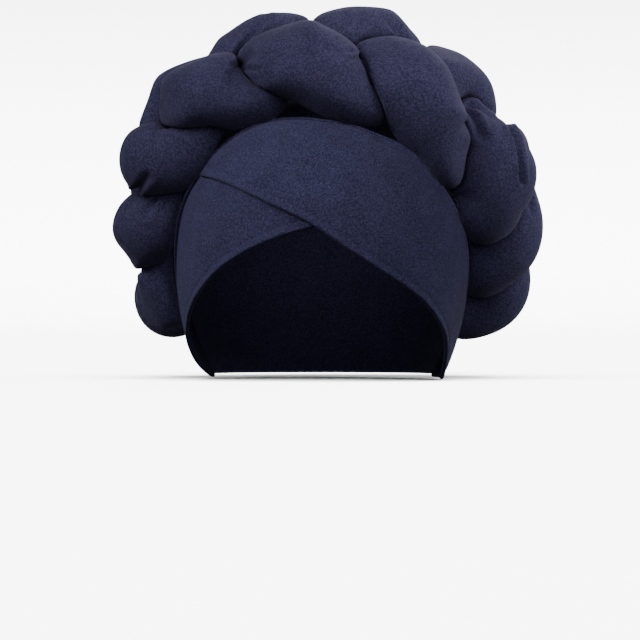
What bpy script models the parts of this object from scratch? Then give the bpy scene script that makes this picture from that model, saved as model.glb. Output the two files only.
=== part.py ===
# Turban headband: a close cap with two crossed front panels and a plaited halo of three stuffed
# strands. Lengths are in metres. +Z is up, the front looks along -Y, and the origin is the inside
# top of the crown, where the cap sits on the head.

import math

import bmesh
import bpy
import numpy as np
from mathutils import Vector

# Inside form of the cap: half width, depth to the front and to the back, and the dome's height
HALF_WIDTH = 0.0753
FRONT_DEPTH = 0.0915
BACK_DEPTH = 0.0970
WIDEST_HEIGHT = -0.0950
DOME_RISE = 0.0927
LOWER_DROP = 0.0550
PLAN_POWER = 2.15
DOME_POWER = 2.20

# Share of the radius lost at one LOWER_DROP below the widest level
SIDE_TAPER = 0.16
FRONT_TAPER = 0.05
NAPE_TAPER = 0.22

# Cloth walls, and how far each layer's inner face stands off the inside form
CLOTH = 0.0020
UNDER_LAYER = 0.0
OUTER_LAYER = 0.0023
SEAM_GAP = 0.0005
CAP_OUTSIDE = OUTER_LAYER + CLOTH

# Seam between the front panels and the crown: bearing from the front in degrees, height in mm
SEAM = (
    dict(bearing=-116.0, height=-150.0),
    dict(bearing=-105.0, height=-108.0),
    dict(bearing=-90.0, height=-77.0),
    dict(bearing=-75.0, height=-58.0),
    dict(bearing=-60.0, height=-43.5),
    dict(bearing=-49.0, height=-32.0),
    dict(bearing=-38.0, height=-23.5),
    dict(bearing=-27.0, height=-19.0),
    dict(bearing=-12.0, height=-17.5),
    dict(bearing=0.0, height=-18.6),
    dict(bearing=13.0, height=-21.0),
    dict(bearing=25.0, height=-26.0),
    dict(bearing=39.0, height=-34.0),
    dict(bearing=50.0, height=-47.0),
    dict(bearing=62.0, height=-62.0),
    dict(bearing=76.0, height=-80.0),
    dict(bearing=90.0, height=-98.0),
    dict(bearing=104.0, height=-122.0),
    dict(bearing=114.0, height=-150.0),
)

# Free edge of the upper panel, from its start at the seam to the right-hand rim
OVER_EDGE = (
    dict(bearing=-60.0, height=-44.5),
    dict(bearing=-46.0, height=-47.0),
    dict(bearing=-32.0, height=-52.0),
    dict(bearing=-18.0, height=-60.5),
    dict(bearing=-1.0, height=-73.7),
    dict(bearing=9.0, height=-85.0),
    dict(bearing=23.0, height=-99.0),
    dict(bearing=36.0, height=-110.5),
    dict(bearing=46.0, height=-121.0),
    dict(bearing=55.0, height=-131.0),
    dict(bearing=63.0, height=-143.0),
    dict(bearing=72.0, height=-150.0),
    dict(bearing=90.0, height=-151.0),
    dict(bearing=114.0, height=-151.0),
)

# Free edge of the lower panel, from the left-hand rim up to its end at the seam
UNDER_EDGE = (
    dict(bearing=-116.0, height=-151.0),
    dict(bearing=-96.0, height=-142.0),
    dict(bearing=-81.0, height=-132.5),
    dict(bearing=-66.0, height=-123.0),
    dict(bearing=-56.0, height=-113.5),
    dict(bearing=-45.0, height=-103.0),
    dict(bearing=-34.0, height=-92.7),
    dict(bearing=-22.0, height=-83.7),
    dict(bearing=-10.0, height=-76.7),
    dict(bearing=0.0, height=-72.5),
    dict(bearing=18.0, height=-63.0),
    dict(bearing=34.0, height=-55.0),
    dict(bearing=50.0, height=-48.5),
)

# Middle of the plait in mm, a row for each front lobe from the right-hand ear over the top:
# reach is how far the strands swing to each side, girth the front lobe's radius and back the
# radius of the lobes on the crown side
PLAIT = (
    dict(lobe="right low", x=83.0, y=58.0, z=-92.0, reach=23.0, girth=21.0, back=18.0),
    dict(lobe="right side", x=87.0, y=28.0, z=-72.0, reach=23.0, girth=22.0, back=19.0),
    dict(lobe="right high", x=85.0, y=-4.0, z=-38.0, reach=29.0, girth=25.0, back=28.0),
    dict(lobe="top right", x=57.0, y=-38.0, z=-4.0, reach=30.0, girth=22.5, back=25.0),
    dict(lobe="top", x=13.0, y=-51.0, z=12.0, reach=25.0, girth=24.0, back=19.0),
    dict(lobe="top left", x=-41.0, y=-42.0, z=8.0, reach=23.0, girth=21.5, back=18.5),
    dict(lobe="left high", x=-72.0, y=-22.0, z=-18.0, reach=22.0, girth=21.5, back=18.5),
    dict(lobe="left side", x=-82.0, y=6.0, z=-50.0, reach=22.0, girth=20.5, back=18.0),
    dict(lobe="left low", x=-79.0, y=43.0, z=-88.0, reach=22.0, girth=21.5, back=18.0),
    dict(lobe="nape left", x=-62.0, y=84.0, z=-95.0, reach=22.0, girth=20.0, back=19.0),
    dict(lobe="nape", x=-10.0, y=113.0, z=-95.0, reach=22.0, girth=20.0, back=19.0),
    dict(lobe="nape right", x=50.0, y=97.0, z=-95.0, reach=22.0, girth=20.0, back=19.0),
)
LOBES = len(PLAIT)
STRANDS = 3

# Point inside the head that the plait's flat side faces away from
PLAIT_CORE = (0.0015, 0.0100, -0.0900)

# How far a strand rises and dips at its crossings, the share of its radius lost where it dives
# under, the phase in degrees at which it is fullest, and the share of its swing lost at the back
WEAVE_LIFT = 0.0050
PINCH = 0.30
FULLEST_PHASE = 130.0
BACK_DRAW = 0.12

# Room kept between strands and above the cap, and the rounding between neighbouring surfaces
STRAND_GAP = 0.0010
CAP_CLEARANCE = 0.0005
CREASE_BLEND = 0.0020

# How far a section's plane turns from square across the plait to square across the strand
SECTION_LEAN = 0.70

# Mesh fineness
STRAND_SECTIONS = 96
STRAND_SIDES = 16
RAY_REACH = 0.0340
RAY_STEPS = 34
MIN_RAY = 0.0020
TUCK_ROUNDS = 4
PATH_STEPS = 360
TURN_NUDGE = 0.01
PANEL_ROWS = 6
MIN_PANEL_LEVEL = 0.01
CROWN_ROWS = 8
COLUMN_TURN = 6.5
LOWER_LEVEL_SCALE = 1.5
WELD_DISTANCE = 0.00001
SHARP_ANGLE = 50.0

NAVY = (0.030, 0.034, 0.085, 1.0)


def form_plan(bearing, offset):
    # Radius of the widest level seen from above, at each bearing from the front
    side = np.sin(bearing)
    ahead = np.cos(bearing)
    depth = np.where(ahead > 0.0, FRONT_DEPTH, BACK_DEPTH) + offset
    across = np.abs(side) / (HALF_WIDTH + offset)
    along = np.abs(ahead) / depth
    return (across ** PLAN_POWER + along ** PLAN_POWER) ** (-1.0 / PLAN_POWER)


def form_radius(bearing, height, offset):
    # Radius of the form at any height: a dome above the widest level and a taper below it
    rise = DOME_RISE + offset
    up = np.clip((height - WIDEST_HEIGHT) / rise, 0.0, 1.0)
    dome = (1.0 - up ** DOME_POWER) ** (1.0 / DOME_POWER)
    down = np.clip((WIDEST_HEIGHT - height) / LOWER_DROP, 0.0, 2.0)
    end_taper = np.where(np.cos(bearing) > 0.0, FRONT_TAPER, NAPE_TAPER)
    taper = SIDE_TAPER * np.sin(bearing) ** 2 + end_taper * np.cos(bearing) ** 2
    return form_plan(bearing, offset) * dome * (1.0 - taper * down ** 2)


def form_point(bearing, height, offset):
    radius = form_radius(bearing, height, offset)
    return radius * np.sin(bearing), -radius * np.cos(bearing), height


def level_of(height, offset):
    # Even measure up the form: 0 at the widest level, 1 at the apex, negative below
    rise = DOME_RISE + offset
    up = min(max((height - WIDEST_HEIGHT) / rise, 0.0), 1.0)
    if up > 0.0:
        return math.asin(up ** (DOME_POWER / 2.0)) / (math.pi / 2.0)
    return (height - WIDEST_HEIGHT) / (LOWER_LEVEL_SCALE * rise)


def height_at(level, offset):
    rise = DOME_RISE + offset
    if level > 0.0:
        return WIDEST_HEIGHT + rise * math.sin(min(level, 1.0) * math.pi / 2.0) ** (2.0 / DOME_POWER)
    return WIDEST_HEIGHT + level * LOWER_LEVEL_SCALE * rise


def edge_height(rows, bearing):
    # Height in metres of a tabled edge at a bearing in degrees, smoothed between its rows
    bearings = np.array([row["bearing"] for row in rows])
    heights = np.array([row["height"] for row in rows]) / 1000.0
    slopes = np.gradient(heights, bearings)
    place = min(max(bearing, bearings[0]), bearings[-1])
    low = min(int(np.searchsorted(bearings, place, side="right")) - 1, len(rows) - 2)
    span = bearings[low + 1] - bearings[low]
    part = (place - bearings[low]) / span
    ease = part * part * (3.0 - 2.0 * part)
    start = slopes[low] * span * part * (1.0 - part) ** 2
    end = -slopes[low + 1] * span * (1.0 - part) * part ** 2
    return heights[low] + (heights[low + 1] - heights[low]) * ease + start + end


def spaced(first, last, step):
    count = max(2, int(round((last - first) / step)) + 1)
    return np.linspace(first, last, count)


def seam_bearings():
    # Columns shared by the crown and the panels, so that their edges run side by side
    return spaced(SEAM[0]["bearing"], SEAM[-1]["bearing"], COLUMN_TURN)


def navy_cloth(name):
    material = bpy.data.materials.new(name)
    material.use_nodes = True
    shader = material.node_tree.nodes["Principled BSDF"]
    shader.inputs["Base Color"].default_value = NAVY
    shader.inputs["Roughness"].default_value = 0.9
    shader.inputs["Metallic"].default_value = 0.0
    return material


def add_object(name, mesh, collection):
    mesh.materials.append(navy_cloth(name))
    mesh.shade_smooth()
    mesh.set_sharp_from_angle(angle=math.radians(SHARP_ANGLE))
    obj = bpy.data.objects.new(name, mesh)
    collection.objects.link(obj)
    return obj


def grid_mesh(name, rows, closed_columns, closed_rows):
    # Mesh of quads over a grid of points, joined round where a direction is closed
    mesh = bpy.data.meshes.new(name)
    bm = bmesh.new()
    verts = [[bm.verts.new(point) for point in row] for row in rows]
    row_count = len(rows) if closed_rows else len(rows) - 1
    column_count = len(rows[0]) if closed_columns else len(rows[0]) - 1
    for i in range(row_count):
        this_row = verts[i]
        next_row = verts[(i + 1) % len(rows)]
        for j in range(column_count):
            k = (j + 1) % len(this_row)
            bm.faces.new((this_row[j], this_row[k], next_row[k], next_row[j]))
    bmesh.ops.remove_doubles(bm, verts=bm.verts[:], dist=WELD_DISTANCE)
    bmesh.ops.recalc_face_normals(bm, faces=bm.faces[:])
    bm.to_mesh(mesh)
    bm.free()
    return mesh


def face_out(mesh):
    # Turns an open shell's faces away from the head's middle
    middle = Vector((0.0, 0.0, WIDEST_HEIGHT))
    facing = sum((poly.center - middle).dot(poly.normal) * poly.area for poly in mesh.polygons)
    if facing < 0.0:
        mesh.flip_normals()


def add_wall(obj):
    wall = obj.modifiers.new("cloth wall", "SOLIDIFY")
    wall.thickness = CLOTH
    wall.offset = 1.0
    wall.use_even_offset = True
    wall.use_quality_normals = True


def front_panel(name, edge, layer, collection):
    # Panel of cloth from the seam down to its own free edge
    columns = []
    for degrees in seam_bearings():
        if not edge[0]["bearing"] <= degrees <= edge[-1]["bearing"]:
            continue
        bearing = math.radians(degrees)
        top = level_of(edge_height(SEAM, degrees) - SEAM_GAP, layer)
        bottom = level_of(edge_height(edge, degrees), layer)
        levels = np.linspace(min(bottom, top - MIN_PANEL_LEVEL), top, PANEL_ROWS)
        heights = [height_at(level, layer) for level in levels]
        columns.append([form_point(bearing, height, layer) for height in heights])
    mesh = grid_mesh(name, columns, False, False)
    face_out(mesh)
    obj = add_object(name, mesh, collection)
    add_wall(obj)
    return obj


def crown_cap(name, collection):
    # Crown from the apex down to the seam in front and to the nape rim behind
    front = seam_bearings()
    nape = spaced(front[-1], front[0] + 360.0, COLUMN_TURN)[1:-1]
    columns = []
    for degrees in np.concatenate([front, nape]):
        bearing = math.radians(degrees)
        bottom = level_of(edge_height(SEAM, degrees) + SEAM_GAP, OUTER_LAYER)
        levels = np.linspace(bottom, 1.0, CROWN_ROWS)
        heights = [height_at(level, OUTER_LAYER) for level in levels]
        columns.append([form_point(bearing, height, OUTER_LAYER) for height in heights])
    mesh = grid_mesh(name, columns, False, True)
    face_out(mesh)
    obj = add_object(name, mesh, collection)
    add_wall(obj)
    return obj


def table_at(column, turn, scale):
    # Smooth closed curve through one column of the plait's table, at fractional rows
    values = np.array([row[column] for row in PLAIT]) * scale
    low = np.floor(turn).astype(int)
    part = turn - low
    before, here, after, beyond = (values[(low + step) % LOBES] for step in (-1, 0, 1, 2))
    slope = (after - before) / 2.0
    next_slope = (beyond - here) / 2.0
    ease = part * part * (3.0 - 2.0 * part)
    return (here + (after - here) * ease + slope * part * (1.0 - part) ** 2
            - next_slope * (1.0 - part) * part ** 2)


def unit(vectors):
    return vectors / np.linalg.norm(vectors, axis=-1, keepdims=True)


def plait_path(turn):
    return np.stack([table_at(column, turn, 0.001) for column in "xyz"], axis=-1)


def plait_axes(turn):
    # Directions at each place on the plait: along it, out from the head, and to its front edge
    along = unit(plait_path(turn + TURN_NUDGE) - plait_path(turn - TURN_NUDGE))
    out = plait_path(turn) - np.array(PLAIT_CORE)
    out = unit(out - (out * along).sum(axis=-1, keepdims=True) * along)
    return along, out, np.cross(out, along)


def strand_line(strand, turn):
    # Centre and radius of one strand: it swings from edge to edge once every three lobes
    phase = 2.0 * math.pi * (turn - strand) / STRANDS + math.pi / 2.0
    along, out, front = plait_axes(turn)
    behind = (1.0 - np.sin(phase)) / 2.0
    swing = table_at("reach", turn, 0.001) * np.sin(phase) * (1.0 - BACK_DRAW * behind)
    lift = -WEAVE_LIFT * np.sin(2.0 * phase)
    centre = plait_path(turn) + swing[:, None] * front + lift[:, None] * out
    thin = PINCH * np.sin(phase - math.radians(FULLEST_PHASE)) ** 2
    girth = table_at("girth", turn, 0.001) * (1.0 - behind) + table_at("back", turn, 0.001) * behind
    return centre, girth * (1.0 - thin)


def soft_least(a, b, blend):
    mix = np.clip(0.5 + 0.5 * (b - a) / blend, 0.0, 1.0)
    return b + (a - b) * mix - blend * mix * (1.0 - mix)


def room_at(points, own, others):
    # How far each point lies inside the strand: within its own girth, on its own side of the
    # surfaces midway to the other strands, and clear of the cap
    own_gap = np.linalg.norm(points[:, None, :] - own[0][None], axis=-1)
    nearest = own_gap.argmin(axis=1)
    distance = own_gap.min(axis=1)
    girth = own[1][nearest]
    room = girth - distance
    for line, radius in others:
        away = np.linalg.norm(points[:, None, :] - line[None], axis=-1)
        share = (away / radius[None]).min(axis=1)
        room = soft_least(room, (share * girth - distance - STRAND_GAP) / 2.0, CREASE_BLEND)
    bearing = np.arctan2(points[:, 0], -points[:, 1])
    offset = CAP_OUTSIDE + CAP_CLEARANCE
    spread = np.hypot(points[:, 0], points[:, 1])
    above = points[:, 2] - (WIDEST_HEIGHT + DOME_RISE + offset)
    beside = spread - form_radius(bearing, points[:, 2], offset)
    return soft_least(room, np.maximum(above, beside), CREASE_BLEND)


def section_rays(strand, turn):
    # Centre of a strand's section and the rays across it. The section's plane leans from square
    # across the plait towards square across the strand.
    before, centre, after = strand_line(strand, turn + TURN_NUDGE * np.array([-1.0, 0.0, 1.0]))[0]
    along, out, _ = (axis[0] for axis in plait_axes(np.array([turn])))
    along = unit(along * (1.0 - SECTION_LEAN) + unit(after - before) * SECTION_LEAN)
    out = unit(out - out.dot(along) * along)
    front = np.cross(out, along)
    angles = np.linspace(0.0, 2.0 * math.pi, STRAND_SIDES, endpoint=False)
    return centre, np.cos(angles)[:, None] * out + np.sin(angles)[:, None] * front


def ray_lengths(centre, rays, own, others):
    # Length of each ray from the section's centre to the strand's surface
    reach = np.linspace(0.0, RAY_REACH, RAY_STEPS)
    points = centre + rays[:, None, :] * reach[None, :, None]
    room = room_at(points.reshape(-1, 3), own, others).reshape(len(rays), len(reach))
    last = np.maximum(1, (room < 0.0).argmax(axis=1))
    row = np.arange(len(rays))
    share = room[row, last - 1] / (room[row, last - 1] - room[row, last])
    return reach[last - 1] + share * (reach[last] - reach[last - 1])


def tuck_in(centres, rays, lengths, own, others):
    # Shortens the rays wherever a flat facet would cut across into a neighbour
    for _ in range(TUCK_ROUNDS):
        points = centres[:, None, :] + rays * lengths[:, :, None]
        ahead = np.roll(points, -1, axis=0)
        beside = np.roll(points, -1, axis=1)
        corner = np.roll(ahead, -1, axis=1)
        excess = np.zeros_like(lengths)
        samples = (
            ((points + ahead) / 2.0, ((0, 0), (1, 0))),
            ((points + beside) / 2.0, ((0, 0), (0, 1))),
            ((points + corner) / 2.0, ((0, 0), (1, 0), (0, 1), (1, 1))),
            ((ahead + beside) / 2.0, ((0, 0), (1, 0), (0, 1), (1, 1))),
        )
        for middle, corners in samples:
            room = room_at(middle.reshape(-1, 3), own, others).reshape(lengths.shape)
            short = np.maximum(0.0, -room)
            for step in corners:
                excess = np.maximum(excess, np.roll(short, step, axis=(0, 1)))
        lengths = np.maximum(lengths - excess, MIN_RAY)
    return lengths


def braid_strand(name, strand, lines, collection):
    # Closed loft through the sections of one strand
    own = lines[strand]
    others = [line for index, line in enumerate(lines) if index != strand]
    turns = np.linspace(0.0, LOBES, STRAND_SECTIONS, endpoint=False)
    sections = [section_rays(strand, turn) for turn in turns]
    centres = np.array([centre for centre, _ in sections])
    rays = np.array([directions for _, directions in sections])
    lengths = np.array([ray_lengths(centre, directions, own, others) for centre, directions in sections])
    lengths = tuck_in(centres, rays, lengths, own, others)
    rows = centres[:, None, :] + rays * lengths[:, :, None]
    mesh = grid_mesh(name, rows.tolist(), True, True)
    return add_object(name, mesh, collection)


def main():
    for obj in list(bpy.data.objects):
        bpy.data.objects.remove(obj, do_unlink=True)
    collection = bpy.data.collections.new("turban_headband")
    bpy.context.scene.collection.children.link(collection)
    crown_cap("crown_cap", collection)
    front_panel("front_wrap_under", UNDER_EDGE, UNDER_LAYER, collection)
    front_panel("front_wrap_over", OVER_EDGE, OUTER_LAYER, collection)
    fine_turns = np.linspace(0.0, LOBES, PATH_STEPS, endpoint=False)
    lines = [strand_line(strand, fine_turns) for strand in range(STRANDS)]
    for strand in range(STRANDS):
        braid_strand("braid_strand_%d" % (strand + 1), strand, lines, collection)


main()
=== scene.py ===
# Turban headband: a close cap of navy stretch knit with two crossed front panels, and round it a
# plaited halo of three stuffed strands. Lengths are in metres unless a note says otherwise, +Z is
# up, the front looks along -Y, and a bearing is an angle from the front towards +X.

import math

import bmesh
import bpy
import numpy as np
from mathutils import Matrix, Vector


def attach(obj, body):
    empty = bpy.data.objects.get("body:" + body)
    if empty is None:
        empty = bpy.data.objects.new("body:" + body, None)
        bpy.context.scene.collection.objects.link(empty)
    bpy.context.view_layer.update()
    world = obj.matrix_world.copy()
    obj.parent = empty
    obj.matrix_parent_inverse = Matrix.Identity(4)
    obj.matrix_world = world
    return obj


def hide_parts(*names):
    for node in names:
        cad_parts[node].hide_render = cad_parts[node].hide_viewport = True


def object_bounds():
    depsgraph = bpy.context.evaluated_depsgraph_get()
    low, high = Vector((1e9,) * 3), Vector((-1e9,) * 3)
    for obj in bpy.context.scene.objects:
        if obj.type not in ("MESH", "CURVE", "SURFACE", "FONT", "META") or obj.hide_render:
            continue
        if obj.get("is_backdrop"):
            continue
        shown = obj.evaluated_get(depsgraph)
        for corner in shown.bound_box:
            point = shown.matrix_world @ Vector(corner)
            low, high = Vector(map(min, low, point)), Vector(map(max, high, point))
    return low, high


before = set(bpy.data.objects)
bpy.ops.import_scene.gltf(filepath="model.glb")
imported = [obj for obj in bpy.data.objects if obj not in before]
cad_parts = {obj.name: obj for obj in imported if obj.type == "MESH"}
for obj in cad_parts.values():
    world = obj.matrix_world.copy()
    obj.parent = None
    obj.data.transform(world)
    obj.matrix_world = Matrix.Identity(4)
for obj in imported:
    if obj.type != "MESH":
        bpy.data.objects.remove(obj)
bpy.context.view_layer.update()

mmPerMetre = 1000.0
fullTurn = 2.0 * math.pi


def addToScene(obj):
    bpy.context.scene.collection.objects.link(obj)


# Camera, level and at the height of the brow
photoView = {
    "distance": 1.6,
    "height": -0.1215,
    "metresPerPixel": 0.54e-3,
    "pixels": 640,
    "sensor": 36.0,
    "nearest": 0.01,
}


def addCamera(view):
    data = bpy.data.cameras.new("photo_view")
    data.sensor_width = view["sensor"]
    data.lens = view["distance"] / (view["metresPerPixel"] * view["pixels"]) * view["sensor"]
    data.clip_start = view["nearest"]
    camera = bpy.data.objects.new("photo_view", data)
    camera.location = (0.0, -view["distance"], view["height"])
    camera.rotation_euler = (math.pi / 2.0, 0.0, 0.0)
    addToScene(camera)
    bpy.context.scene.camera = camera


addCamera(photoView)
print("camera placed")


# Form of the head that the cap is stretched over: a dome above its widest level, tapering below it
capForm = {
    "halfWidth": 0.0753,
    "frontDepth": 0.0915,
    "backDepth": 0.0970,
    "widestHeight": -0.0950,
    "domeRise": 0.0927,
    "lowerDrop": 0.0550,
    "dropLimit": 2.0,
    "lowerMeasure": 1.5,
    "planPower": 2.15,
    "domePower": 2.20,
    "sideTaper": 0.16,
    "frontTaper": 0.05,
    "napeTaper": 0.22,
}


def formRadius(bearing, height, offset):
    # From the axis to the form, or to one that stands out from it by an offset
    side, ahead = np.sin(bearing), np.cos(bearing)
    depth = np.where(ahead > 0.0, capForm["frontDepth"], capForm["backDepth"]) + offset
    across = np.abs(side) / (capForm["halfWidth"] + offset)
    power = capForm["planPower"]
    plan = (across ** power + (np.abs(ahead) / depth) ** power) ** (-1.0 / power)
    up = np.clip((height - capForm["widestHeight"]) / (capForm["domeRise"] + offset), 0.0, 1.0)
    dome = (1.0 - up ** capForm["domePower"]) ** (1.0 / capForm["domePower"])
    down = (capForm["widestHeight"] - height) / capForm["lowerDrop"]
    down = np.clip(down, 0.0, capForm["dropLimit"])
    endTaper = np.where(ahead > 0.0, capForm["frontTaper"], capForm["napeTaper"])
    taper = capForm["sideTaper"] * side ** 2 + endTaper * ahead ** 2
    return plan * dome * (1.0 - taper * down ** 2)


def formPoints(bearing, height, offset):
    radius = formRadius(bearing, height, offset)
    level = np.broadcast_to(height, radius.shape)
    return np.stack([radius * np.sin(bearing), -radius * np.cos(bearing), level], axis=-1)


def levelOf(height, offset):
    # Even measure up the form: 0 at the widest level, 1 at the apex, negative below
    rise = capForm["domeRise"] + offset
    up = np.clip((height - capForm["widestHeight"]) / rise, 0.0, 1.0)
    above = np.arcsin(up ** (capForm["domePower"] / 2.0)) / (math.pi / 2.0)
    below = (height - capForm["widestHeight"]) / (capForm["lowerMeasure"] * rise)
    return np.where(up > 0.0, above, below)


def heightAt(level, offset):
    rise = capForm["domeRise"] + offset
    above = np.sin(np.clip(level, 0.0, 1.0) * math.pi / 2.0) ** (2.0 / capForm["domePower"])
    below = level * capForm["lowerMeasure"] * rise
    return capForm["widestHeight"] + np.where(level > 0.0, rise * above, below)


def smoothStep(part):
    return part * part * (3.0 - 2.0 * part)


def betweenRows(here, after, slope, nextSlope, part):
    # Part of the way from one value to the next, leaving and arriving at the slopes given
    leaving = slope * part * (1.0 - part) ** 2
    arriving = nextSlope * (1.0 - part) * part ** 2
    return here + (after - here) * smoothStep(part) + leaving - arriving


def alongTable(rows, bearing):
    # Height of a tabled line at bearings in degrees, smoothed between its rows of (degrees, mm)
    bearings, heights = np.array(rows, float).T
    heights = heights / mmPerMetre
    slopes = np.gradient(heights, bearings)
    place = np.clip(bearing, bearings[0], bearings[-1])
    low = np.clip(np.searchsorted(bearings, place, side="right") - 1, 0, len(rows) - 2)
    span = bearings[low + 1] - bearings[low]
    slope, nextSlope = slopes[low] * span, slopes[low + 1] * span
    part = (place - bearings[low]) / span
    return betweenRows(heights[low], heights[low + 1], slope, nextSlope, part)


def unit(vectors):
    return vectors / np.linalg.norm(vectors, axis=-1, keepdims=True)


class Wire:
    # One output of a node, with the sums that a pattern is written in
    def __init__(self, finish, socket):
        self.finish = finish
        self.socket = socket

    def sum(self, operation, *values):
        node = self.finish.add("ShaderNodeMath", {"operation": operation}, dict(enumerate(values)))
        return self.finish.out(node, 0)

    def __add__(self, other):
        return self.sum("ADD", self, other)

    def __radd__(self, other):
        return self.sum("ADD", other, self)

    def __sub__(self, other):
        return self.sum("SUBTRACT", self, other)

    def __rsub__(self, other):
        return self.sum("SUBTRACT", other, self)

    def __mul__(self, other):
        return self.sum("MULTIPLY", self, other)

    def __rmul__(self, other):
        return self.sum("MULTIPLY", other, self)

    def __abs__(self):
        return self.sum("ABSOLUTE", self)

    def cosine(self):
        return self.sum("COSINE", self)

    def fraction(self):
        return self.sum("FRACT", self)


class Finish:
    # A material and the one way that nodes are added to it
    def __init__(self, name):
        self.material = bpy.data.materials.new(name)
        self.material.use_nodes = True
        self.tree = self.material.node_tree
        self.shader = self.tree.nodes["Principled BSDF"]

    def join(self, socket, value):
        if isinstance(value, Wire):
            self.tree.links.new(value.socket, socket)
        else:
            socket.default_value = value

    def add(self, kind, settings, sockets):
        node = self.tree.nodes.new(kind)
        for key, value in settings.items():
            setattr(node, key, value)
        for key, value in sockets.items():
            self.join(node.inputs[key], value)
        return node

    def out(self, node, key):
        return Wire(self, node.outputs[key])

    def surface(self, values):
        # Sets or links the shader's own sockets
        for key, value in values.items():
            self.join(self.shader.inputs[key], value)


# Ranges are what a cloud's values are spread over, and shares how much of the colour it turns
knitLook = {
    "deep": (0.0175, 0.0162, 0.0395, 1.0),
    "light": (0.0440, 0.0408, 0.0930, 1.0),
    "fleck": (0.0800, 0.0760, 0.1350, 1.0),
    "fleckSize": 0.00105,
    "fleckRange": (0.50, 0.74),
    "fleckShare": 0.24,
    "grainToFleck": 0.9,
    "grainRange": (0.34, 0.66),
    "grainShare": 0.70,
    "mottleSize": 0.016,
    "mottleRange": (0.3, 0.7),
    "mottleShare": 0.18,
    "roughness": 0.88,
    "roughnessDrop": 0.06,
    "specular": 0.06,
    "sheen": 0.06,
    "sheenRoughness": 0.42,
    "sheenTint": (0.80, 0.78, 1.0, 1.0),
    "stitchDepth": 0.00005,
    "fuzzToFleck": 1.6,
    "fuzzDepth": 0.00022,
    "bumpStrength": 0.8,
}


def knitFinish(name, look):
    # Stretch knit: wales and courses follow the piece's own map, flecks and mottling its place
    finish = Finish(name)
    place = finish.out(finish.add("ShaderNodeTexCoord", {}, {}), "Object")
    loops = finish.out(finish.add("ShaderNodeUVMap", {"uv_map": "knit"}, {}), "UV")
    apart = finish.add("ShaderNodeSeparateXYZ", {}, {"Vector": loops})
    wale, course = finish.out(apart, "X"), finish.out(apart, "Y")
    slant = abs(wale.fraction() - 0.5)
    stitch = (wale * fullTurn).cosine() * 0.5 + ((course + slant) * fullTurn).cosine() * 0.5

    def cloud(size, detail):
        sockets = {"Vector": place, "Scale": 1.0 / size, "Detail": detail}
        return finish.out(finish.add("ShaderNodeTexNoise", {}, sockets), 0)

    def spread(value, ends):
        settings = {"interpolation_type": "SMOOTHSTEP"}
        sockets = {"Value": value, "From Min": ends[0], "From Max": ends[1]}
        return finish.out(finish.add("ShaderNodeMapRange", settings, sockets), "Result")

    def blend(share, first, second):
        # A Mix node takes its colours at sockets 6 and 7, and gives one at 2
        sockets = {0: share, 6: first, 7: second}
        return finish.out(finish.add("ShaderNodeMix", {"data_type": "RGBA"}, sockets), 2)

    flecks = spread(cloud(look["fleckSize"], detail=2.0), look["fleckRange"])
    mottle = spread(cloud(look["mottleSize"], detail=3.0), look["mottleRange"])
    grain = spread(cloud(look["fleckSize"] * look["grainToFleck"], detail=1.0), look["grainRange"])
    fuzz = cloud(look["fleckSize"] * look["fuzzToFleck"], detail=3.0)
    share = grain * look["grainShare"] + mottle * look["mottleShare"]
    tone = blend(share, look["deep"], look["light"])
    height = stitch * look["stitchDepth"] + fuzz * look["fuzzDepth"]
    sockets = {"Height": height, "Distance": 1.0, "Strength": look["bumpStrength"]}
    bump = finish.add("ShaderNodeBump", {}, sockets)
    finish.surface({
        "Base Color": blend(flecks * look["fleckShare"], tone, look["fleck"]),
        "Roughness": look["roughness"] - mottle * look["roughnessDrop"],
        "Normal": finish.out(bump, "Normal"),
        "Sheen Weight": look["sheen"],
        "Sheen Roughness": look["sheenRoughness"],
        "Sheen Tint": look["sheenTint"],
        "Specular IOR Level": look["specular"],
    })
    return finish.material


strandKnit = knitFinish("strand knit", knitLook)
capKnit = knitFinish("cap knit", dict(
    knitLook,
    deep=(0.0119, 0.0116, 0.0293, 1.0),
    light=(0.0293, 0.0284, 0.0690, 1.0),
    fleckSize=0.00095,
))
print("knit finishes made")


def reworked(mesh, step=None):
    # Runs a step on a mesh in its edit form, then turns its faces outwards
    bm = bmesh.new()
    bm.from_mesh(mesh)
    if step:
        step(bm)
    bmesh.ops.recalc_face_normals(bm, faces=bm.faces[:])
    bm.to_mesh(mesh)
    bm.free()


def mergeDoubles(bm):
    bmesh.ops.remove_doubles(bm, verts=bm.verts[:], dist=1e-6)
    bmesh.ops.dissolve_degenerate(bm, edges=bm.edges[:], dist=1e-7)


def fillEnds(bm):
    rim = [edge for edge in bm.edges if edge.is_boundary]
    bmesh.ops.holes_fill(bm, edges=rim, sides=0)
    bmesh.ops.triangulate(bm, faces=[face for face in bm.faces if len(face.verts) > 4])


def cornersOf(grid):
    # The four corners of each cell of a grid, in order round it
    return np.stack([grid[:-1, :-1], grid[:-1, 1:], grid[1:, 1:], grid[1:, :-1]], axis=2)


def tubeObject(name, points, uv, closedAlong, material):
    # Tube of quads over points[row][column], each row a closed ring, whose last row joins the first
    # or whose ends are filled; uv holds a column more, and a row more where it is closed along
    rows, columns = points.shape[:2]
    index = np.arange(rows * columns).reshape(rows, columns)
    if closedAlong:
        index = np.vstack([index, index[:1]])
    quads = cornersOf(np.hstack([index, index[:, :1]])).reshape(-1, 4)
    mesh = bpy.data.meshes.new(name)
    mesh.from_pydata(points.reshape(-1, 3).tolist(), [], quads.tolist())
    layer = mesh.uv_layers.new(name="knit")
    layer.data.foreach_set("uv", cornersOf(uv).astype(np.float32).ravel())
    mesh.materials.append(material)
    reworked(mesh, mergeDoubles)
    if not closedAlong:
        reworked(mesh, fillEnds)
    mesh.shade_smooth()
    obj = bpy.data.objects.new(name, mesh)
    addToScene(obj)
    return obj


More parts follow.
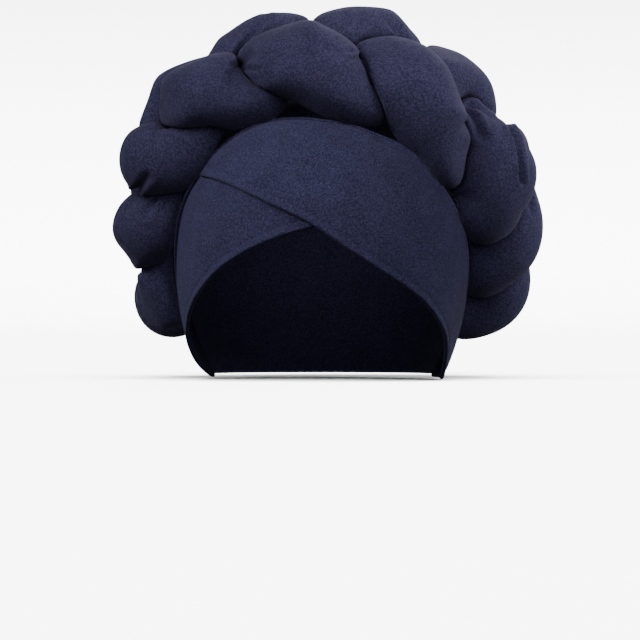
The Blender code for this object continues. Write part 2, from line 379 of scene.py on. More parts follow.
# Cloth of the crown and the crossed front panels, the hem on the panels' free edges, and the dip
# that its stitching draws in, in hem widths. The tuck and the columns' spacing are in degrees.
capCloth = {
    "thickness": 0.0020,
    "underLayer": 0.0,
    "outerLayer": 0.0023,
    "seamGap": 0.0004,
    "tuck": 2.5,
    "columnTurn": 1.1,
    "rowSpan": 0.150,
    "rowSpacing": 0.0011,
    "endCrowding": 0.25,
    "leastRise": 0.004,
    "edgeRoundings": 5,
    "walePitch": 0.00085,
    "coursePitch": 0.00075,
    "hemWidth": 0.0016,
    "hemRise": 0.00035,
    "hemDip": 0.00022,
    "dipPlace": 2.4,
    "dipWidth": 0.7,
}

# Seam between the front panels and the crown, then the free edges: (bearing in degrees, height in mm)
seamLine = [
    (-116, -150), (-105, -108), (-90, -77), (-75, -58), (-60, -43.5), (-49, -32), (-38, -23.5),
    (-27, -19), (-12, -17.5), (0, -18.6), (13, -21), (25, -26), (39, -34), (50, -47), (62, -62),
    (76, -80), (90, -98), (104, -122), (114, -150),
]
overEdge = [
    (-60, -44.5), (-46, -47), (-32, -52), (-18, -60.5), (-1, -73.7), (9, -85), (23, -99),
    (36, -110.5), (46, -121), (55, -131), (63, -143), (72, -150), (90, -151), (114, -151),
]
underEdge = [
    (-116, -151), (-96, -142), (-81, -132.5), (-66, -123), (-56, -113.5), (-45, -103),
    (-34, -92.7), (-22, -83.7), (-10, -76.7), (0, -72.5), (18, -63), (34, -55), (50, -48.5),
]


def gridNormals(points):
    # Outward normals of an open grid of points on the form
    across = np.gradient(points, axis=0)
    up = np.gradient(points, axis=1)
    nudge = 1e-15    # keeps a normal's length above zero where columns meet
    normals = unit(np.cross(across, up) + nudge)
    outward = points - np.array([0.0, 0.0, capForm["widestHeight"]])
    return normals * np.sign((normals * outward).sum(axis=-1, keepdims=True))


def upColumns(points):
    # Distance up each column of a grid from its foot
    steps = np.linalg.norm(np.diff(points, axis=1), axis=-1)
    return np.concatenate([np.zeros((len(points), 1)), np.cumsum(steps, axis=1)], axis=1)


def wallThickness(walk, hemmed):
    # Thickness of the cloth at a distance from its foot
    if not hemmed:
        return np.full(walk.shape, capCloth["thickness"])
    hem = capCloth["hemWidth"]
    rise = capCloth["hemRise"] * np.exp(-(walk / hem) ** 2)
    fromDip = (walk - capCloth["dipPlace"] * hem) / (capCloth["dipWidth"] * hem)
    return capCloth["thickness"] + (rise - capCloth["hemDip"] * np.exp(-fromDip ** 2))


def roundedEdge(start, end, beyond):
    # Half circles from one face of the cloth to the other, past its edge
    turns = np.linspace(0.0, math.pi, capCloth["edgeRoundings"] + 2)[1:-1]
    middle, half = (start + end) / 2.0, (end - start) / 2.0
    reach = np.linalg.norm(half, axis=-1, keepdims=True)
    rings = [middle - half * math.cos(a) + beyond * reach * math.sin(a) for a in turns]
    return np.stack(rings, axis=1)


def wallSection(inner, outer):
    # Closed section of a cloth wall in each column: inner face up, top, outer face down, foot
    top = roundedEdge(inner[:, -1], outer[:, -1], unit(inner[:, -1] - inner[:, -2]))
    foot = roundedEdge(outer[:, 0], inner[:, 0], unit(inner[:, 0] - inner[:, 1]))
    return np.concatenate([inner, top, outer[:, ::-1], foot], axis=1)


def clothMap(bearing, share, lengths, closedRound):
    # Map counted in loops of the knit: wales round the cap, courses up the inside and down again
    wales = bearing * capForm["halfWidth"] / capCloth["walePitch"]
    courses = lengths / capCloth["coursePitch"]
    if closedRound:
        allRound = round(fullTurn * capForm["halfWidth"] / capCloth["walePitch"])
        wales = np.append(wales, wales[0] + allRound)
        courses = np.append(courses, courses[0])
    rounded = capCloth["edgeRoundings"]
    height = np.concatenate([share, np.ones(rounded), share[::-1], np.zeros(rounded + 1)])
    courses = courses[:, None] * height[None, :]
    return np.stack([np.broadcast_to(wales[:, None], courses.shape), courses], axis=-1)


def clothPiece(name, bearings, foot, top, layer, hemmed, closedRound):
    # Sheet of cloth on the form between a foot line and a top line, and its area
    bearing = np.radians(bearings)
    high = levelOf(top, layer)
    low = np.minimum(levelOf(foot, layer), high - capCloth["leastRise"])
    share = np.linspace(0.0, 1.0, int(capCloth["rowSpan"] / capCloth["rowSpacing"]))
    crowding = capCloth["endCrowding"]
    share = (1.0 - crowding) * share + crowding * (1.0 - np.cos(share * math.pi)) / 2.0
    level = low[:, None] + (high - low)[:, None] * share[None, :]
    inner = formPoints(bearing[:, None], heightAt(level, layer), layer)
    if closedRound:
        normals = gridNormals(np.concatenate([inner[-2:], inner, inner[:2]]))[2:-2]
        normals[:, -1] = (0.0, 0.0, 1.0)
    else:
        normals = gridNormals(inner)
        normals[:, -1] = normals[:, -2]
    walk = upColumns(inner)
    outer = inner + normals * wallThickness(walk, hemmed)[..., None]
    uv = clothMap(bearing, share, walk[:, -1], closedRound)
    obj = tubeObject(name, wallSection(inner, outer), uv, closedRound, capKnit)
    area = sheetArea(inner, closedRound)
    print(name, "area", round(area, 4))
    return obj, area


def sheetArea(points, closedRound):
    if closedRound:
        points = np.concatenate([points, points[:1]])
    a, b, c, d = points[:-1, :-1], points[1:, :-1], points[1:, 1:], points[:-1, 1:]
    first = np.linalg.norm(np.cross(b - a, c - a), axis=-1)
    second = np.linalg.norm(np.cross(c - a, d - a), axis=-1)
    return float((first + second).sum() / 2.0)


def evenBearings(first, last):
    count = int(round((last - first) / capCloth["columnTurn"])) + 1
    return np.linspace(first, last, count)


def panelPiece(name, edge, layer, tuck):
    # Panel from its free edge up to the seam, or as many degrees past it as it tucks under the crown
    bearings = evenBearings(edge[0][0] - tuck, min(edge[-1][0], seamLine[-1][0]))
    top = alongTable(seamLine, bearings + tuck) - capCloth["seamGap"]
    return clothPiece(name, bearings, alongTable(edge, bearings), top, layer, True, False)


def crownPiece(name):
    # Crown from the seam up to the apex, and round behind from the rim at the nape
    first, last = seamLine[0][0], seamLine[-1][0]
    behind = evenBearings(last, first + 360.0)[1:-1]
    bearings = np.append(evenBearings(first, last), behind)
    foot = alongTable(seamLine, bearings) + capCloth["seamGap"]
    apex = capForm["widestHeight"] + capForm["domeRise"] + capCloth["outerLayer"]
    top = np.full(len(bearings), apex)
    return clothPiece(name, bearings, foot, top, capCloth["outerLayer"], False, True)


# Roll of cloth on the seam; endGap is in degrees
seamRoll = {
    "radius": 0.0008,
    "sink": 0.0001,
    "rise": 0.0006,
    "spacing": 0.0012,
    "sides": 16,
    "endGap": 0.2,
}


def rollNodes(name):
    # Cord-like roll of cloth along the edges of a line
    tree = bpy.data.node_groups.new(name, "GeometryNodeTree")
    for title, kind in (
        ("Line", "NodeSocketGeometry"),
        ("Radius", "NodeSocketFloat"),
        ("Spacing", "NodeSocketFloat"),
        ("Sides", "NodeSocketInt"),
        ("Cloth", "NodeSocketMaterial"),
    ):
        tree.interface.new_socket(title, in_out="INPUT", socket_type=kind)
    tree.interface.new_socket("Roll", in_out="OUTPUT", socket_type="NodeSocketGeometry")
    start, end = tree.nodes.new("NodeGroupInput"), tree.nodes.new("NodeGroupOutput")
    curve = tree.nodes.new("GeometryNodeMeshToCurve")
    even = tree.nodes.new("GeometryNodeResampleCurve")
    even.mode = "LENGTH"
    ring = tree.nodes.new("GeometryNodeCurvePrimitiveCircle")
    tube = tree.nodes.new("GeometryNodeCurveToMesh")
    tube.inputs["Fill Caps"].default_value = True
    smooth = tree.nodes.new("GeometryNodeSetShadeSmooth")
    real = tree.nodes.new("GeometryNodeRealizeInstances")
    cloth = tree.nodes.new("GeometryNodeSetMaterial")
    for giver, output, taker, socket in (
        (start, "Line", curve, "Mesh"),
        (curve, "Curve", even, "Curve"),
        (start, "Spacing", even, "Length"),
        (start, "Sides", ring, "Resolution"),
        (start, "Radius", ring, "Radius"),
        (even, "Curve", tube, "Curve"),
        (ring, "Curve", tube, "Profile Curve"),
        (tube, "Mesh", smooth, "Geometry"),
        (smooth, "Geometry", real, "Geometry"),
        (real, "Geometry", cloth, "Geometry"),
        (start, "Cloth", cloth, "Material"),
        (cloth, "Geometry", end, "Roll"),
    ):
        tree.links.new(giver.outputs[output], taker.inputs[socket])
    return tree


def grownFrom(obj, tree, values):
    # Gives an object the plain mesh that a node tree makes of it
    modifier = obj.modifiers.new("grow", "NODES")
    modifier.node_group = tree
    for item in tree.interface.items_tree:
        if item.in_out == "INPUT" and item.name in values:
            modifier[item.identifier] = values[item.name]
    bpy.context.view_layer.update()
    graph = bpy.context.evaluated_depsgraph_get()
    mesh = bpy.data.meshes.new_from_object(obj.evaluated_get(graph))
    obj.modifiers.remove(modifier)
    obj.data = mesh
    reworked(mesh)
    return obj


def seamPiece(name):
    first, last = seamLine[0][0] + seamRoll["endGap"], seamLine[-1][0] - seamRoll["endGap"]
    bearing = np.radians(evenBearings(first, last))
    height = alongTable(seamLine, np.degrees(bearing)) + seamRoll["rise"]
    offset = capCloth["outerLayer"] + capCloth["thickness"] - seamRoll["sink"]
    line = formPoints(bearing, height, offset)
    mesh = bpy.data.meshes.new(name)
    mesh.from_pydata(line.tolist(), [(k, k + 1) for k in range(len(line) - 1)], [])
    obj = bpy.data.objects.new(name, mesh)
    addToScene(obj)
    return grownFrom(obj, rollNodes("seam roll"), {
        "Radius": seamRoll["radius"],
        "Spacing": seamRoll["spacing"],
        "Sides": seamRoll["sides"],
        "Cloth": capKnit,
    })


crown, crownArea = crownPiece("crown_cloth")
seam = seamPiece("panel_seam")
underPanel, underArea = panelPiece(
    "under_panel_cloth", underEdge, capCloth["underLayer"], capCloth["tuck"])
overPanel, overArea = panelPiece("over_panel_cloth", overEdge, capCloth["outerLayer"], 0.0)
print("cap cloth made")


# Middle of the plait in mm, a row for each lobe from the right-hand ear over the top and round
# behind, then the strands' swing to each side, the radius in front and the radius by the crown
plaitRows = np.array([
    (83.0, 58.0, -92.0, 23.0, 21.0, 18.0),
    (87.0, 28.0, -72.0, 23.0, 22.0, 19.0),
    (85.0, -4.0, -38.0, 29.0, 25.0, 28.0),
    (57.0, -38.0, -4.0, 30.0, 22.5, 25.0),
    (13.0, -51.0, 12.0, 25.0, 24.0, 19.0),
    (-41.0, -42.0, 8.0, 23.0, 21.5, 18.5),
    (-72.0, -22.0, -18.0, 22.0, 21.5, 18.5),
    (-82.0, 6.0, -50.0, 22.0, 20.5, 18.0),
    (-79.0, 43.0, -88.0, 22.0, 21.5, 18.0),
    (-62.0, 84.0, -95.0, 22.0, 20.0, 19.0),
    (-10.0, 113.0, -95.0, 22.0, 20.0, 19.0),
    (50.0, 97.0, -95.0, 22.0, 20.0, 19.0),
]) / mmPerMetre
swingColumn, frontGirth, crownGirth = 3, 4, 5
lobes = len(plaitRows)
strandCount = 3

# How the strands weave and where they thin; the delay and the phases are in degrees
plaitForm = {
    "core": (0.0015, 0.0100, -0.0900),
    "nudge": 0.01,
    "weaveLift": 0.0065,
    "liftSharpness": 0.55,
    "liftDelay": 18.0,
    "pinch": 0.28,
    "fullestPhase": 130.0,
    "nip": 0.12,
    "nipPhase": 207.0,
    "nipWidth": 0.25,
    "backDraw": 0.12,
    "strandGap": 0.0004,
    "capClearance": 0.0004,
    "capPush": 0.006,
    "edgeRound": 0.0024,
    "capRound": 0.0060,
    "sectionLean": 0.70,
    "sections": 880,
    "sides": 104,
    "outerShare": 0.42,
    "pathSteps": 480,
    "wales": 152,
    "courses": 1500,
}
strandOffset = capCloth["outerLayer"] + capCloth["thickness"] + plaitForm["capClearance"]


def plaitValue(column, turn):
    # Smooth closed curve through one column of the plait's rows, at fractional rows
    values = plaitRows[:, column]
    low = np.floor(turn).astype(int)
    before, here, after, beyond = (values[(low + step) % lobes] for step in (-1, 0, 1, 2))
    return betweenRows(here, after, (after - before) / 2.0, (beyond - here) / 2.0, turn - low)


def plaitPath(turn):
    return np.stack([plaitValue(column, turn) for column in range(3)], axis=-1)


def squareTo(along, vectors):
    # Unit vectors square to one direction, in the planes of others
    return unit(vectors - (vectors * along).sum(axis=-1, keepdims=True) * along)


def plaitAxes(turn):
    # Along the plait, out from the head, and towards its front edge
    nudge = plaitForm["nudge"]
    along = unit(plaitPath(turn + nudge) - plaitPath(turn - nudge))
    out = squareTo(along, plaitPath(turn) - np.array(plaitForm["core"]))
    return along, out, np.cross(out, along)


def strandPhase(strand, turn):
    return fullTurn * (turn - strand) / strandCount + math.pi / 2.0


def strandLine(strand, turn):
    # Centre and radius of one strand, which swings from edge to edge once every three lobes
    phase = strandPhase(strand, turn)
    along, out, front = plaitAxes(turn)
    behind = (1.0 - np.sin(phase)) / 2.0
    swing = plaitValue(swingColumn, turn) * np.sin(phase) * (1.0 - plaitForm["backDraw"] * behind)
    wave = np.sin(2.0 * (phase - math.radians(plaitForm["liftDelay"])))
    lift = -plaitForm["weaveLift"] * wave / np.sqrt(wave ** 2 + plaitForm["liftSharpness"] ** 2)
    centre = plaitPath(turn) + swing[:, None] * front + lift[:, None] * out
    thin = plaitForm["pinch"] * np.sin(phase - math.radians(plaitForm["fullestPhase"])) ** 2
    past = np.cos(2.0 * (phase - math.radians(plaitForm["nipPhase"]))) - 1.0
    thin = thin + plaitForm["nip"] * np.exp(past / plaitForm["nipWidth"])
    girth = plaitValue(frontGirth, turn) * (1.0 - behind) + plaitValue(crownGirth, turn) * behind
    return centre, girth * (1.0 - thin)


def softLeast(a, b, blend):
    # The lesser of two values, rounded off where they are within a blend of each other
    mix = np.clip(0.5 + 0.5 * (b - a) / blend, 0.0, 1.0)
    return b + (a - b) * mix - blend * mix * (1.0 - mix)


def lowestBetween(table):
    # Lowest value along each row of squared distances, read between the samples, and its place
    at = np.clip(table.argmin(axis=1), 1, table.shape[1] - 2)
    row = np.arange(len(table))
    before, here, after = table[row, at - 1], table[row, at], table[row, at + 1]
    leastBend = 1e-12
    bend = np.maximum(before - 2.0 * here + after, leastBend)
    shift = np.clip((before - after) / (2.0 * bend), -1.0, 1.0)
    return np.maximum(here - (before - after) ** 2 / (8.0 * bend), 0.0), at, shift


def squaredTo(points, line):
    return ((points ** 2).sum(axis=1)[:, None] + (line ** 2).sum(axis=1)[None]
            - 2.0 * points @ line.T)


def besideCap(points):
    # How far points stand out from the cap and the strands' clearance on it, and their bearings
    bearing = np.arctan2(points[..., 0], -points[..., 1])
    out = np.hypot(points[..., 0], points[..., 1])
    return out - formRadius(bearing, points[..., 2], strandOffset), bearing


def roomAt(points, own, others):
    # How far points lie inside the strand: within its girth, on its side of the others, off the cap
    least, at, shift = lowestBetween(squaredTo(points, own[0]))
    distance = np.sqrt(least)
    ahead = np.where(shift > 0.0, own[1][at + 1], own[1][at - 1])
    girth = own[1][at] + (ahead - own[1][at]) * np.abs(shift)
    room = girth - distance
    for line, radius in others:
        share = np.sqrt(lowestBetween(squaredTo(points, line) / radius[None] ** 2)[0])
        limit = (share * girth - distance - plaitForm["strandGap"]) / 2.0
        room = softLeast(room, limit, plaitForm["edgeRound"])
    above = points[:, 2] - (capForm["widestHeight"] + capForm["domeRise"] + strandOffset)
    return softLeast(room, np.maximum(above, besideCap(points)[0]), plaitForm["capRound"])


def windowOf(line, low, high):
    # Stretch of a strand's centres and radii between two places along the plait
    steps = plaitForm["pathSteps"]
    index = np.arange(int(low * steps / lobes), int(math.ceil(high * steps / lobes)) + 1) % steps
    return line[0][index], line[1][index]


def strandSections(strand, turns):
    # Centres of a strand's sections and the rays across each, in planes leaning with the strand
    nudge = plaitForm["nudge"]
    centres = strandLine(strand, turns)[0]
    tangent = unit(strandLine(strand, turns + nudge)[0] - strandLine(strand, turns - nudge)[0])
    along, out, _ = plaitAxes(turns)
    lean = plaitForm["sectionLean"]
    along = unit(along * (1.0 - lean) + tangent * lean)
    out = squareTo(along, out)
    front = np.cross(out, along)
    angles = np.linspace(0.0, fullTurn, plaitForm["sides"], endpoint=False)
    angles = angles - plaitForm["outerShare"] * np.sin(angles)
    outwards, forwards = np.cos(angles)[None, :, None], np.sin(angles)[None, :, None]
    return centres, outwards * out[:, None] + forwards * front[:, None], angles


# How a strand's surface is walked out: sections at a time, how many lobes each way the strands are
# looked at, and the steps, each a share of the room that is left
strandWalk = {
    "block": 11,
    "ownLobes": 1.1,
    "otherLobes": 1.5,
    "start": 0.010,
    "steps": 13,
    "stepShare": 0.9,
    "least": 0.0015,
    "most": 0.040,
}


def strandLengths(strand, turns, centres, rays, lines):
    # Walks out along every ray until the room runs out
    lengths = np.zeros(rays.shape[:2])
    others = [line for k, line in enumerate(lines) if k != strand]
    for start in range(0, len(turns), strandWalk["block"]):
        part = slice(start, min(start + strandWalk["block"], len(turns)))
        low, high = turns[part][0], turns[part][-1]
        ownLobes, otherLobes = strandWalk["ownLobes"], strandWalk["otherLobes"]
        own = windowOf(lines[strand], low - ownLobes, high + ownLobes)
        near = [windowOf(line, low - otherLobes, high + otherLobes) for line in others]
        middle = np.repeat(centres[part], rays.shape[1], axis=0)
        ray = rays[part].reshape(-1, 3)
        reach = np.full(len(ray), strandWalk["start"])
        for _ in range(strandWalk["steps"]):
            room = roomAt(middle + ray * reach[:, None], own, near)
            reach = reach + strandWalk["stepShare"] * room
            reach = np.clip(reach, strandWalk["least"], strandWalk["most"])
        lengths[part] = reach.reshape(-1, rays.shape[1])
    return lengths


# Where the tabled form puts places on the plait and where the photo shows them: (from column, from
# row, to column, to row) in the camera's picture. Equal pairs hold a place still.
viewPlaces = np.array([
    (196, 55, 210, 54), (169, 64, 168, 66), (145, 104, 144, 108), (155, 84, 153, 84),
    (158, 100, 161, 101), (225, 24, 232, 30), (245, 14, 252, 17), (263, 11, 271, 13),
    (283, 16, 289, 15), (298, 24, 307, 20), (313, 24, 317, 20), (351, 7, 355, 7),
    (371, 8, 375, 9), (387, 15, 393, 15), (401, 24, 407, 27), (406, 34, 418, 39),
    (383, 30, 387, 37), (365, 32, 368, 38), (352, 50, 354, 48), (400, 34, 410, 40),
    (415, 36, 430, 45), (435, 33, 447, 49), (455, 36, 462, 54), (473, 45, 481, 66),
    (483, 60, 494, 84), (487, 82, 497, 113), (455, 64, 458, 74), (464, 84, 466, 106),
    (479, 80, 481, 101), (519, 116, 524, 131), (381, 84, 372, 83), (529, 140, 530, 150),
    (535, 172, 535, 174), (463, 100, 465, 113), (468, 112, 467, 122), (473, 136, 469, 140),
    (475, 156, 468, 158), (451, 176, 453, 188), (439, 174, 440, 184), (465, 170, 464, 179),
    (427, 170, 427, 169), (403, 152, 409, 149), (287, 112, 287, 103), (307, 126, 307, 112),
    (335, 132, 335, 121), (359, 131, 360, 125), (381, 120, 381, 118), (203, 134, 203, 129),
    (223, 138, 224, 130), (255, 130, 255, 123), (283, 119, 284, 114), (175, 120, 170, 125),
    (255, 72, 248, 79), (265, 84, 259, 89), (240, 66, 238, 65), (243, 42, 246, 46),
    (267, 28, 268, 33), (305, 60, 305, 60), (210, 95, 210, 95), (410, 90, 410, 90),
    (122, 150, 122, 150), (113, 235, 113, 235), (118, 252, 121, 250), (128, 264, 130, 261),
    (137, 268, 134, 267), (148, 280, 141, 277), (135, 310, 135, 310), (165, 336, 165, 336),
    (540, 200, 540, 202), (541, 240, 541, 240), (530, 300, 530, 300), (500, 335, 500, 335),
    (491, 240, 488, 241), (527, 200, 524, 203), (185, 183, 185, 183), (500, 170, 500, 175),
    (440, 235, 440, 235), (184, 260, 184, 260), (160, 160, 160, 160), (150, 215, 150, 215),
    (500, 280, 500, 280),
], float)
# How far each place's shift reaches in pixels, and where along Y the shift begins and ends to fade
viewShift = {"reach": 26.0, "slack": 0.03, "wholeBefore": 0.015, "noneBehind": 0.070}


def viewOf(points):
    # Column and row in the camera's picture, and what a pixel spans at that depth
    distance = photoView["distance"]
    scale = photoView["metresPerPixel"] * (distance + points[..., 1]) / distance
    half = photoView["pixels"] / 2.0
    row = half - (points[..., 2] - photoView["height"]) / scale
    return half + points[..., 0] / scale, row, scale


def nearness(squared):
    return np.exp(-squared / viewShift["reach"] ** 2)


def toPhoto(points):
    # Moves points across the view, smoothly, so that the tabled places come where the photo has them
    places, moves = viewPlaces[:, :2], viewPlaces[:, 2:] - viewPlaces[:, :2]
    between = ((places[:, None] - places[None]) ** 2).sum(axis=-1)
    weights = np.linalg.solve(nearness(between) + viewShift["slack"] * np.eye(len(places)), moves)
    column, row, scale = viewOf(points)
    whole, none = viewShift["wholeBefore"], viewShift["noneBehind"]
    behind = np.clip((points[..., 1] - whole) / (none - whole), 0.0, 1.0)
    size = scale * (1.0 - smoothStep(behind))
    moved = points.copy()
    for (placeX, placeY), (moveX, moveY) in zip(places, weights):
        near = nearness((column - placeX) ** 2 + (row - placeY) ** 2) * size
        moved[..., 0] += near * moveX
        moved[..., 2] -= near * moveY
    return offCap(moved)


def offCap(points):
    # Pushes points out from the axis until they clear the cap
    beside, bearing = besideCap(points)
    short = np.clip(-beside, 0.0, plaitForm["capPush"])
    points[..., 0] += np.sin(bearing) * short
    points[..., 1] -= np.cos(bearing) * short
    return points


# Drawn folds at each dive of a strand: how many, how deep, how far along the lobe in lobes, how wide
# round the strand in radians, and how much shallower they are in front, where seen folds take over
gathers = {
    "seed": 11,
    "foldsEach": 8,
    "start": 0.97,
    "spacing": 1.5,
    "depth": (0.0010, 0.0030),
    "reach": (0.10, 0.28),
    "pastDive": 0.02,
    "width": (0.05, 0.11),
    "drift": 0.5,
    "splay": 1.5,
    "seenTo": 0.0,
    "seenFade": 0.02,
    "seenShare": 0.2,
}

# Folds that show from the front: the strand, how deep and wide in mm, how far it fades towards its
# end, and its line by column and row in the camera's picture, deepest where it starts
seenFolds = [
    (0, 3.6, 1.3, 0.7, ((237, 64), (238, 50), (246, 40), (258, 27), (267, 18))),
    (1, 5.0, 1.8, 0.5, ((238, 65), (249, 56))),
    (1, 3.4, 1.0, 0.7, ((240, 68), (248, 69), (260, 70))),
    (1, 1.0, 1.4, 0.6, ((352, 51), (340, 53), (325, 47))),
    (1, 1.0, 1.2, 0.7, ((357, 58), (347, 59), (336, 57))),
    (2, 1.2, 1.2, 0.6, ((236, 66), (221, 63), (204, 62))),
    (0, 1.6, 0.8, 0.5, ((357, 53), (364, 62), (371, 76), (380, 92))),
    (0, 1.5, 0.9, 0.7, ((355, 50), (364, 47))),
    (2, 2.8, 1.7, 0.6, ((403, 38), (397, 29), (389, 22))),
    (2, 0.9, 1.6, 0.5, ((352, 45), (341, 32), (346, 18))),
    (2, 6.0, 2.2, 0.5, ((469, 108), (476, 119), (481, 134))),
    (2, 3.2, 1.3, 0.7, ((472, 105), (485, 112), (491, 127))),
    (2, 2.2, 1.3, 0.7, ((494, 106), (497, 119))),
    (2, 3.6, 1.3, 0.1, ((498, 113), (509, 124), (517, 139), (521, 158), (522, 182))),
    (1, 2.0, 1.0, 0.7, ((523, 183), (529, 197), (532, 214))),
    (1, 1.8, 1.0, 0.7, ((521, 190), (519, 206))),
    (0, 4.4, 1.8, 0.6, ((133, 195), (139, 187), (147, 177))),
    (0, 1.6, 1.2, 0.6, ((145, 130), (158, 127), (173, 129))),
    (0, 1.6, 1.3, 0.6, ((192, 138), (180, 131))),
    (1, 3.4, 1.7, 0.6, ((154, 201), (146, 214))),
    (1, 1.4, 1.1, 0.7, ((136, 199), (127, 209))),
    (2, 1.6, 1.1, 0.7, ((184, 324), (165, 329))),
    (2, 1.2, 1.0, 0.7, ((183, 330), (172, 334))),
    (2, 1.4, 1.2, 0.6, ((140, 272), (148, 283))),
]

# How those folds widen as they fade, the lip that stands up beside each, and where they run out on
# faces that turn away or lie behind
seenLook = {
    "startWidth": 0.8,
    "widening": 0.9,
    "lip": 0.30,
    "lipPlace": 2.0,
    "turnedAway": 0.35,
    "noneBehind": 0.04,
    "behindFade": 0.015,
}


def gatherFolds(strand, turns, angles):
    # Grooves that run out from each place where the strand dives under, over the lobe before it
    draw = np.random.default_rng(gathers["seed"] + strand)
    depth = np.zeros((len(turns), len(angles)))
    for k in range(2 * lobes // strandCount):
        dive = strand + gathers["start"] + gathers["spacing"] * k
        away = (dive - turns + lobes / 2.0) % lobes - lobes / 2.0
        before, past = np.clip(away, 0.0, None), np.clip(-away, 0.0, None)
        for _ in range(gathers["foldsEach"]):
            centre = draw.uniform(-math.pi, math.pi)
            deep = draw.uniform(*gathers["depth"])
            reach = draw.uniform(*gathers["reach"])
            width = draw.uniform(*gathers["width"])
            drift = draw.uniform(-gathers["drift"], gathers["drift"])
            fall = np.exp(-before ** 2 / (2.0 * reach ** 2))
            fall = fall * np.exp(-past ** 2 / gathers["pastDive"])
            middle = centre + drift * away
            apart = (angles[None, :] - middle[:, None] + math.pi) % fullTurn - math.pi
            wide = width * (1.0 + gathers["splay"] * before)
            depth += deep * fall[:, None] * np.exp(-(apart / wide[:, None]) ** 2)
    return depth


def nearLine(column, row, line):
    # How many pixels places are from a line, and how far along it as a share of its length
    line = np.array(line, float)
    runs = np.diff(line, axis=0)
    lengths = np.linalg.norm(runs, axis=1)
    starts = np.concatenate([[0.0], np.cumsum(lengths)])
    apart = np.full(column.shape, np.inf)
    share = np.zeros(column.shape)
    for (fromX, fromY), (runX, runY), length, start in zip(line, runs, lengths, starts):
        part = np.clip(((column - fromX) * runX + (row - fromY) * runY) / length ** 2, 0.0, 1.0)
        off = np.hypot(column - fromX - part * runX, row - fromY - part * runY)
        share = np.where(off < apart, (start + part * length) / starts[-1], share)
        apart = np.minimum(off, apart)
    return apart, share


def foldsInView(strand, points, rays):
    # Depth of the folds seen from the front at each point of a strand, none where it faces away
    column, row, scale = viewOf(points)
    depth = np.zeros(column.shape)
    for own, deep, width, fade, line in seenFolds:
        if own != strand:
            continue
        apart, share = nearLine(column, row, line)
        widened = seenLook["startWidth"] + seenLook["widening"] * fade * share
        wide = width / mmPerMetre / scale * widened
        lip = seenLook["lip"] * np.exp(-((apart - seenLook["lipPlace"] * wide) / wide) ** 2)
        groove = np.exp(-(apart / wide) ** 2) - lip
        depth += deep / mmPerMetre * groove * (1.0 - fade * share)
    facing = np.clip(1.0 - rays[..., 1] / seenLook["turnedAway"], 0.0, 1.0)
    ahead = (seenLook["noneBehind"] - points[..., 1]) / seenLook["behindFade"]
    return depth * facing * np.clip(ahead, 0.0, 1.0)


def strandPiece(name, strand, lines):
    turns = np.linspace(0.0, lobes, plaitForm["sections"], endpoint=False)
    centres, rays, angles = strandSections(strand, turns)
    lengths = strandLengths(strand, turns, centres, rays, lines)
    points = toPhoto(centres[:, None, :] + rays * lengths[:, :, None])
    unseen = (points[..., 1] - gathers["seenTo"]) / gathers["seenFade"]
    unseen = np.clip(unseen, gathers["seenShare"], 1.0)
    folds = gatherFolds(strand, turns, angles) * unseen + foldsInView(strand, points, rays)
    lengths = np.maximum(lengths - folds, strandWalk["least"])
    points = toPhoto(centres[:, None, :] + rays * lengths[:, :, None])
    wales = plaitForm["wales"] * np.append(angles, fullTurn) / fullTurn
    courses = np.linspace(0.0, plaitForm["courses"], plaitForm["sections"] + 1)
    uv = np.stack(np.meshgrid(wales, courses), axis=-1)
    return tubeObject(name, points, uv, True, strandKnit)


fineTurns = np.linspace(0.0, lobes, plaitForm["pathSteps"], endpoint=False)
strandLines = [strandLine(strand, fineTurns) for strand in range(strandCount)]
strands = [strandPiece("stuffed_strand_%d" % (k + 1), k, strandLines) for k in range(strandCount)]
print("strands made")


# Floor, backdrop and sky
studio = {
    "floorDrop": 0.0004,
    "floorRadius": 8.0,
    "floorColour": (0.90, 0.90, 0.90, 1.0),
    "floorRoughness": 0.9,
    "coveRadius": 1.2,
    "coveHeight": 1.8,
    "coveSteps": 13,
    "roundSteps": 96,
    "doubles": 1e-3,
    "skyAbove": 0.25,
    "skyBelow": 0.06,
    "skyBand": 0.35,
}

# Where each light comes from, its power, and its softness in degrees
lightLook = {
    "key": ((-0.70, -0.54, 0.50), 2.15, 26.0),
    "fill": ((0.93, -0.15, 0.32), 3.1, 55.0),
    "back": ((0.35, 0.85, 0.45), 1.8, 55.0),
    "backdrop": ((0.0, -0.60, 0.80), 32.0, 55.0),
    "hollow": ((0.0, -0.90, -0.45), 0.9, 55.0),
    "front": ((0.05, -1.0, 0.38), 1.40, 55.0),
    "panels": ((-1.0, -0.45, 0.70), 4.3, 26.0),
    "panel fill": ((1.0, -0.60, 0.70), 3.1, 55.0),
    "seam": ((0.80, -1.0, 0.60), 5.0, 26.0),
}


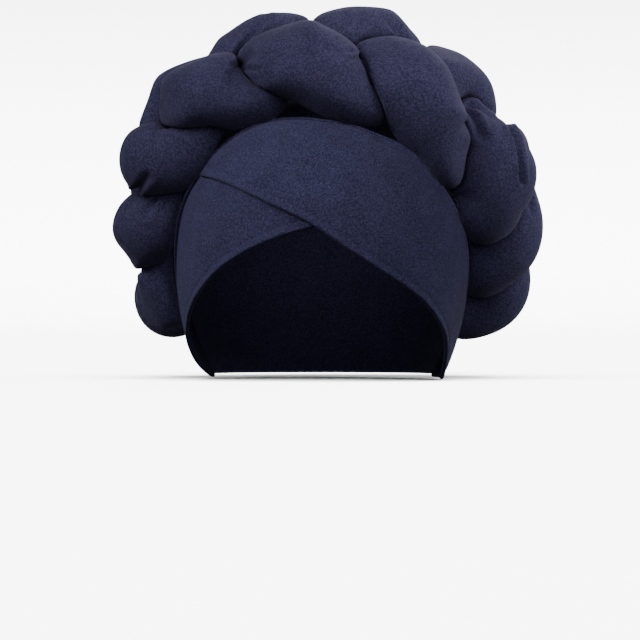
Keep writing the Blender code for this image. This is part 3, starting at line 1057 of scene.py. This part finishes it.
def addFloor(name, low):
    # Round pale floor whose rim curves up into a backdrop
    radius, cove = studio["floorRadius"], studio["coveRadius"]
    turns = np.linspace(0.0, math.pi / 2.0, studio["coveSteps"])
    profile = [(0.0, 0.0)]
    profile += [(radius + cove * math.sin(a), cove * (1.0 - math.cos(a))) for a in turns]
    profile.append((radius + cove, studio["coveHeight"]))
    bm = bmesh.new()
    verts = [bm.verts.new((out, 0.0, low + up)) for out, up in profile]
    edges = [bm.edges.new(pair) for pair in zip(verts, verts[1:])]
    bmesh.ops.spin(bm, geom=verts + edges, cent=(0, 0, 0), axis=(0, 0, 1),
                   angle=fullTurn, steps=studio["roundSteps"])
    bmesh.ops.remove_doubles(bm, verts=bm.verts[:], dist=studio["doubles"])
    bmesh.ops.recalc_face_normals(bm, faces=bm.faces[:])
    mesh = bpy.data.meshes.new(name)
    bm.to_mesh(mesh)
    bm.free()
    mesh.shade_smooth()
    finish = Finish("pale floor")
    finish.surface({"Base Color": studio["floorColour"], "Roughness": studio["floorRoughness"]})
    mesh.materials.append(finish.material)
    floor = bpy.data.objects.new(name, mesh)
    floor.visible_diffuse = False
    floor.visible_glossy = False
    addToScene(floor)
    floor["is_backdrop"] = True
    return floor


def addSoftLight(name, place, power, softness):
    data = bpy.data.lights.new(name, "SUN")
    data.energy = power
    data.angle = math.radians(softness)
    light = bpy.data.objects.new(name, data)
    light.rotation_euler = Vector(place).to_track_quat("Z", "Y").to_euler()
    addToScene(light)
    return light


def groupOf(name, pieces):
    group = bpy.data.collections.new(name)
    for piece in pieces:
        group.objects.link(piece)
    return group


def shineOnly(name, pieces, shadedBy=None):
    # Keeps a light to some pieces, and where shadedBy is given only those cast its shadows
    linking = lights[name].light_linking
    linking.receiver_collection = groupOf(name + " lit", pieces)
    if shadedBy:
        linking.blocker_collection = groupOf(name + " shading", shadedBy)


def addSky():
    # Soft light from above and around, and little from below
    world = bpy.data.worlds.new("studio")
    world.use_nodes = True
    tree = world.node_tree
    place = tree.nodes.new("ShaderNodeTexCoord")
    apart = tree.nodes.new("ShaderNodeSeparateXYZ")
    grade = tree.nodes.new("ShaderNodeMapRange")
    tree.links.new(place.outputs["Generated"], apart.inputs["Vector"])
    tree.links.new(apart.outputs["Z"], grade.inputs["Value"])
    for key, value in (
        ("From Min", -studio["skyBand"]),
        ("From Max", studio["skyBand"]),
        ("To Min", studio["skyBelow"]),
        ("To Max", studio["skyAbove"]),
    ):
        grade.inputs[key].default_value = value
    background = tree.nodes["Background"]
    background.inputs["Color"].default_value = (1.0, 1.0, 1.0, 1.0)
    tree.links.new(grade.outputs["Result"], background.inputs["Strength"])
    bpy.context.scene.world = world


addSky()
lights = {name: addSoftLight(name, *look) for name, look in lightLook.items()}
print("sky and lights made")

# What each piece rides on and what it replaces
for k, strand in enumerate(strands):
    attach(strand, "root")
    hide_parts("braid_strand_%d" % (k + 1))

for piece, node, area, flat in (
    (crown, "crown_cap", crownArea, (0.40, 0.30)),
    (underPanel, "front_wrap_under", underArea, (0.28, 0.11)),
    (overPanel, "front_wrap_over", overArea, (0.28, 0.13)),
):
    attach(piece, "root")
    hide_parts(node)

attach(seam, "root")

floor = addFloor("floor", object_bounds()[0].z - studio["floorDrop"])
panels = [underPanel, overPanel]
shineOnly("hollow", [crown], [crown])
shineOnly("front", strands, strands)
shineOnly("panels", panels, panels + [crown])
shineOnly("panel fill", panels, panels + [crown])
shineOnly("seam", [seam], [seam])
shineOnly("backdrop", [floor])
shineOnly("key", [crown, seam, floor] + strands)
shineOnly("fill", [crown, seam, floor] + strands)
print("floor laid")
